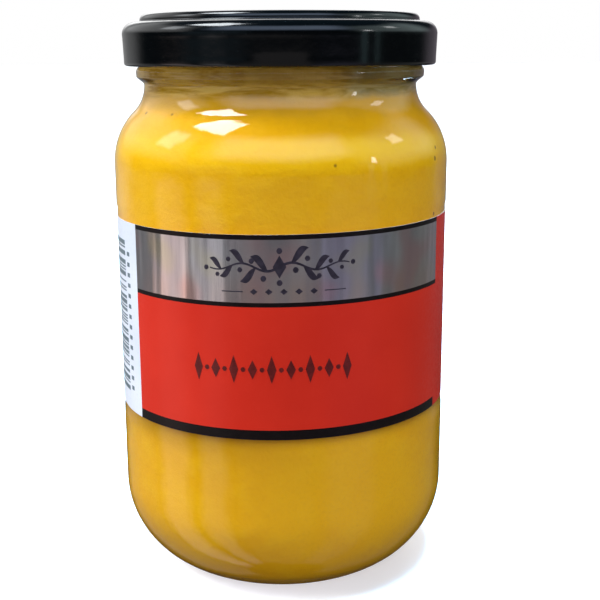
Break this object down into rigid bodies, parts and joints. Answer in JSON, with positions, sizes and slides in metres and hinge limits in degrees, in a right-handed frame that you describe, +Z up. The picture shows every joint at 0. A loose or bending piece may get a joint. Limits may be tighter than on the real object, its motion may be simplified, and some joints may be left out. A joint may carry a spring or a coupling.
{
  "type": "mustard jar",
  "caption": "Round clear glass jar filled with yellow mustard, with a black twist-off metal lid and a paper label wrapped round its straight wall.",
  "frame": {"origin": "middle of the foot, on the surface the jar stands on", "axes": "+Z up along the jar's axis, -Y towards the front of the label, +X to the right of someone facing it"},
  "size_m": [0.0742, 0.0742, 0.1233],
  "materials": {
    "clear_glass": "smooth clear container glass with a faint green cast",
    "mustard_paste": "smooth moist yellow paste with fine husk specks",
    "lid_lacquer": "glossy black lacquer on pressed steel",
    "label_paper": "coated label paper printed red, with a brushed silver band, black rules and a white panel"
  },
  "bodies": {
    "root": {"jar": "clear_glass", "mustard": "mustard_paste", "lid": "lid_lacquer", "label": "label_paper"}
  },
  "joints": []
}
